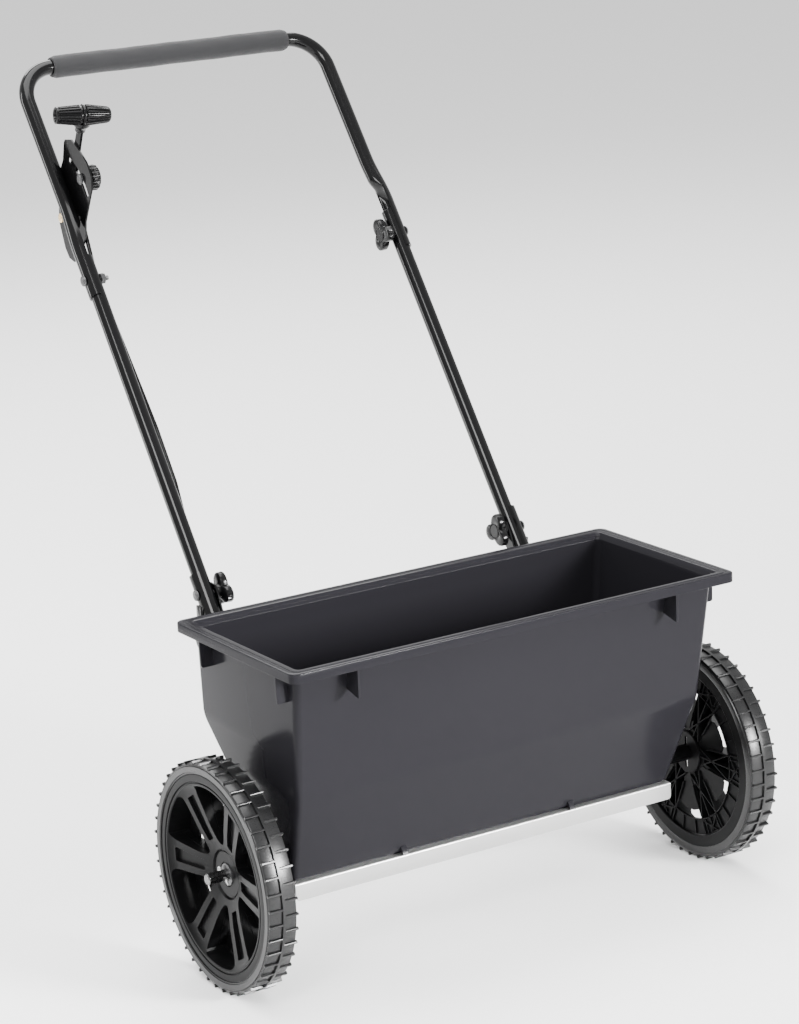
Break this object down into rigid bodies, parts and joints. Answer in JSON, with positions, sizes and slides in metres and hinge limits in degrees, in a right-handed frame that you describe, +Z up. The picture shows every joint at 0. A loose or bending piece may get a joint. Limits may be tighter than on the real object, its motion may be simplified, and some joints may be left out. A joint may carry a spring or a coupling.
{
  "type": "garden drop spreader",
  "caption": "Push-along drop spreader with an open hopper, sliding gate, driven agitator axle, two lugged wheels, bolted tube handle and rate lever.",
  "frame": {"origin": "centre of the bounding box at ground level", "axes": "+X along the axle to the user's right seen from behind, +Y back towards the handle, +Z up"},
  "size_m": [0.668, 0.7344, 0.934],
  "materials": {
    "agitator": "moulded, satin",
    "agitator_pin": "zinc plated",
    "axle": "bright, lightly brushed",
    "axle_bushing_left": "moulded, satin",
    "axle_bushing_right": "moulded, satin",
    "axle_spacer_left": "moulded, satin",
    "axle_spacer_right": "moulded, satin",
    "bell_crank": "zinc plated",
    "control_rod": "zinc plated",
    "cotter_pin_left": "zinc plated",
    "cotter_pin_right": "zinc plated",
    "crank_bracket": "moulded, satin",
    "crank_pin": "zinc plated",
    "drive_pin": "zinc plated",
    "foam_grip": "soft closed-cell foam, matte",
    "foot_pad_left": "matte",
    "foot_pad_right": "matte",
    "gate_plate": "bright, lightly brushed",
    "hopper": "satin moulded, dark grey",
    "hopper_bolt_left": "zinc plated",
    "hopper_bolt_right": "zinc plated",
    "hopper_bracket_left": "gloss black paint",
    "hopper_bracket_right": "gloss black paint",
    "lever": "gloss black paint",
    "lever_grip": "moulded, satin",
    "lever_pivot_bolt": "yellow passivated",
    "lever_pivot_nut": "zinc plated",
    "lever_plate": "gloss black paint",
    "lower_bolt_left": "zinc plated",
    "lower_bolt_right": "zinc plated",
    "lower_knob_left": "moulded, satin",
    "lower_knob_right": "moulded, satin",
    "lower_tube_left": "gloss black paint",
    "lower_tube_right": "gloss black paint",
    "plate_screw": "zinc plated",
    "rate_stop_bolt": "zinc plated",
    "rate_stop_knob": "moulded, satin",
    "stand_tube": "gloss black paint",
    "tyre_left": "matte, lugged",
    "tyre_right": "matte, lugged",
    "upper_bolt_left": "zinc plated",
    "upper_bolt_right": "zinc plated",
    "upper_handle": "gloss black paint",
    "upper_knob_right": "moulded, satin",
    "upper_nut_left": "zinc plated",
    "wheel_left": "moulded, satin",
    "wheel_right": "moulded, satin",
    "wheel_washer_left": "zinc plated",
    "wheel_washer_right": "zinc plated"
  },
  "bodies": {
    "chassis": {"hopper": "hopper", "hopper_bracket_left": "hopper_bracket_left", "hopper_bracket_right": "hopper_bracket_right", "hopper_bolt_left": "hopper_bolt_left", "hopper_bolt_right": "hopper_bolt_right", "crank_bracket": "crank_bracket", "crank_pin": "crank_pin", "axle_bushing_left": "axle_bushing_left", "axle_bushing_right": "axle_bushing_right", "lower_tube_left": "lower_tube_left", "lower_tube_right": "lower_tube_right", "upper_handle": "upper_handle", "foam_grip": "foam_grip", "stand_tube": "stand_tube", "foot_pad_left": "foot_pad_left", "foot_pad_right": "foot_pad_right", "upper_bolt_left": "upper_bolt_left", "upper_bolt_right": "upper_bolt_right", "lower_bolt_left": "lower_bolt_left", "lower_bolt_right": "lower_bolt_right", "upper_nut_left": "upper_nut_left", "lever_plate": "lever_plate", "lever_pivot_bolt": "lever_pivot_bolt", "lever_pivot_nut": "lever_pivot_nut", "plate_screw": "plate_screw"},
    "drive_axle": {"axle": "axle", "agitator": "agitator", "agitator_pin": "agitator_pin", "drive_pin": "drive_pin", "cotter_pin_left": "cotter_pin_left", "cotter_pin_right": "cotter_pin_right", "wheel_washer_left": "wheel_washer_left", "wheel_washer_right": "wheel_washer_right", "axle_spacer_left": "axle_spacer_left", "axle_spacer_right": "axle_spacer_right", "wheel_right": "wheel_right", "tyre_right": "tyre_right"},
    "free_wheel": {"wheel_left": "wheel_left", "tyre_left": "tyre_left"},
    "gate": {"gate_plate": "gate_plate"},
    "crank": {"bell_crank": "bell_crank"},
    "rod": {"control_rod": "control_rod"},
    "lever": {"lever": "lever", "lever_grip": "lever_grip"},
    "rate_stop": {"rate_stop_bolt": "rate_stop_bolt"},
    "rate_knob": {"rate_stop_knob": "rate_stop_knob"},
    "lower_knob_left": {"lower_knob_left": "lower_knob_left"},
    "lower_knob_right": {"lower_knob_right": "lower_knob_right"},
    "upper_knob_right": {"upper_knob_right": "upper_knob_right"}
  },
  "joints": [
    {"name": "axle_spin", "type": "hinge", "parent": "chassis", "child": "drive_axle", "pos_m": [0, -0.24025, 0.127], "axis": [1, 0, 0], "continuous": true},
    {"name": "free_wheel_spin", "type": "hinge", "parent": "chassis", "child": "free_wheel", "pos_m": [-0.312, -0.24025, 0.127], "axis": [1, 0, 0], "continuous": true},
    {"name": "lever_swing", "type": "hinge", "parent": "chassis", "child": "lever", "pos_m": [-0.1893, 0.27925, 0.755], "axis": [1, 0, 0], "range_deg": [-8, 12.4]},
    {"name": "rod_slide", "type": "slide", "parent": "chassis", "child": "rod", "axis": [0, 0.5707, 0.8212], "range_m": [-0.00669, 0.00439]},
    {"name": "crank_swing", "type": "hinge", "parent": "chassis", "child": "crank", "pos_m": [-0.16, -0.17825, 0.14], "axis": [0, 0.8212, -0.5707], "range_deg": [-13.59, 8.87]},
    {"name": "gate_slide", "type": "slide", "parent": "chassis", "child": "gate", "axis": [1, 0, 0], "range_m": [-0.00541, 0.00827]},
    {"name": "rate_stop_swing", "type": "hinge", "parent": "chassis", "child": "rate_stop", "pos_m": [-0.19, 0.27925, 0.755], "axis": [1, 0, 0], "range_deg": [0, 13]},
    {"name": "rate_knob_spin", "type": "hinge", "parent": "rate_stop", "child": "rate_knob", "pos_m": [-0.18, 0.22295, 0.80605], "axis": [1, 0, 0], "continuous": true},
    {"name": "lower_knob_left_spin", "type": "hinge", "parent": "chassis", "child": "lower_knob_left", "pos_m": [-0.186, -0.03525, 0.371], "axis": [1, 0, 0], "continuous": true},
    {"name": "lower_knob_right_spin", "type": "hinge", "parent": "chassis", "child": "lower_knob_right", "pos_m": [0.186, -0.03525, 0.371], "axis": [1, 0, 0], "continuous": true},
    {"name": "upper_knob_right_spin", "type": "hinge", "parent": "chassis", "child": "upper_knob_right", "pos_m": [0.188, 0.18995, 0.695], "axis": [1, 0, 0], "continuous": true}
  ],
  "couplings": [
    {"joint": "rod_slide", "follows": "lever_swing", "m_per_rad": -0.03},
    {"joint": "crank_swing", "follows": "lever_swing", "ratio": -1.0714},
    {"joint": "gate_slide", "follows": "lever_swing", "m_per_rad": 0.03729}
  ]
}
